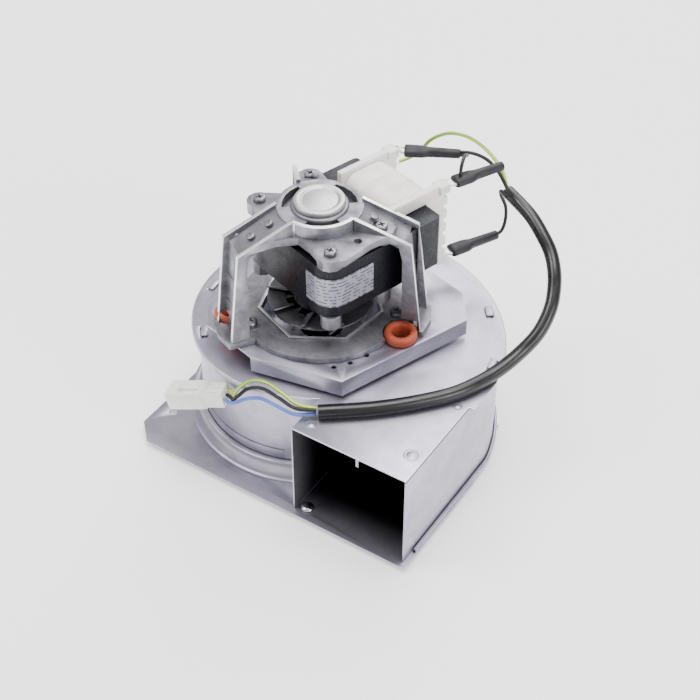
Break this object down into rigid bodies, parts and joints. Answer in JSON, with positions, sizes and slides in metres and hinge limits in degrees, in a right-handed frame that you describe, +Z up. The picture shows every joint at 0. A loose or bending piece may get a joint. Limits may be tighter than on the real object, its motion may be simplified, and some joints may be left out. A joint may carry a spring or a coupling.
{
  "type": "combustion fan",
  "caption": "Boiler combustion fan: galvanised scroll housing with a square outlet, a radial wheel, and a shaded-pole motor in a cast bracket on silicone mounts, with its wired lead.",
  "frame": {"origin": "under the middle of the footprint, on the surface that the clinch nuts stand on", "axes": "+Z up along the motor shaft, the outlet opens towards -Y, +X to the right when looking into the outlet"},
  "size_m": [0.1734, 0.1629, 0.1335],
  "materials": {
    "galvanised_sheet": "zinc-coated sheet, satin",
    "cast_aluminium": "die cast, matt with bright edges",
    "laminations": "dark varnished steel laminations",
    "bright_steel": "zinc-plated steel",
    "sintered_bronze": "sintered bronze and brass",
    "copper": "bare copper",
    "silicone": "terracotta silicone rubber",
    "coil_tape": "white insulating tape",
    "nylon": "natural nylon",
    "boot_plastic": "dark grey soft sleeve",
    "black_sheath": "glossy black sheath",
    "earth_insulation": "green and yellow insulation",
    "black_insulation": "black insulation",
    "blue_insulation": "blue insulation",
    "label_film": "silver film label"
  },
  "bodies": {
    "housing": {"base_plate": "galvanised_sheet", "scroll_wall": "galvanised_sheet", "cover_plate": "galvanised_sheet", "clinch_nut_1": "bright_steel", "clinch_nut_2": "bright_steel", "clinch_nut_3": "bright_steel", "clinch_nut_4": "bright_steel", "corner_rivet": "bright_steel", "support_plate": "galvanised_sheet", "silicone_mount_right": "silicone", "silicone_mount_back": "silicone", "silicone_mount_left": "silicone", "mount_stud_right": "bright_steel", "mount_stud_back": "bright_steel", "mount_stud_left": "bright_steel", "motor_bracket": "cast_aluminium", "bearing_cap": "bright_steel", "upper_bearing": "sintered_bronze", "lower_bearing": "sintered_bronze", "foot_screw_1": "bright_steel", "foot_screw_2": "bright_steel", "foot_screw_3": "bright_steel", "stator_stack": "laminations", "bobbin": "nylon", "coil": "coil_tape", "terminal_left": "bright_steel", "terminal_right": "bright_steel", "terminal_lower": "bright_steel", "earth_tab": "bright_steel", "terminal_boot_left": "boot_plastic", "terminal_boot_right": "boot_plastic", "terminal_boot_lower": "boot_plastic", "stack_screw_1": "bright_steel", "stack_screw_2": "bright_steel", "stack_screw_3": "bright_steel", "stack_screw_4": "bright_steel", "lower_end_shield": "cast_aluminium", "shading_ring_left": "copper", "shading_ring_right": "copper", "rating_label": "label_film", "cord_sheath": "black_sheath", "jumper_lead": "black_insulation", "line_lead": "black_insulation", "earth_lead": "earth_insulation", "neutral_lead": "black_insulation", "earth_tail": "earth_insulation", "line_tail": "black_insulation", "neutral_tail": "blue_insulation", "connector_housing": "nylon", "connector_pin_1": "sintered_bronze", "connector_pin_2": "sintered_bronze", "connector_pin_3": "sintered_bronze"},
    "rotor": {"rotor_shaft": "bright_steel", "rotor_core": "laminations", "impeller_wheel": "galvanised_sheet", "impeller_hub": "sintered_bronze", "impeller_set_screw": "bright_steel", "cooling_fan": "galvanised_sheet", "thrust_washer_upper": "bright_steel", "heat_slinger": "bright_steel"}
  },
  "joints": [
    {"name": "rotor_spin", "type": "hinge", "parent": "housing", "child": "rotor", "pos_m": [-0.01053, -0.00524, 0.08], "axis": [0, 0, 1], "continuous": true}
  ]
}
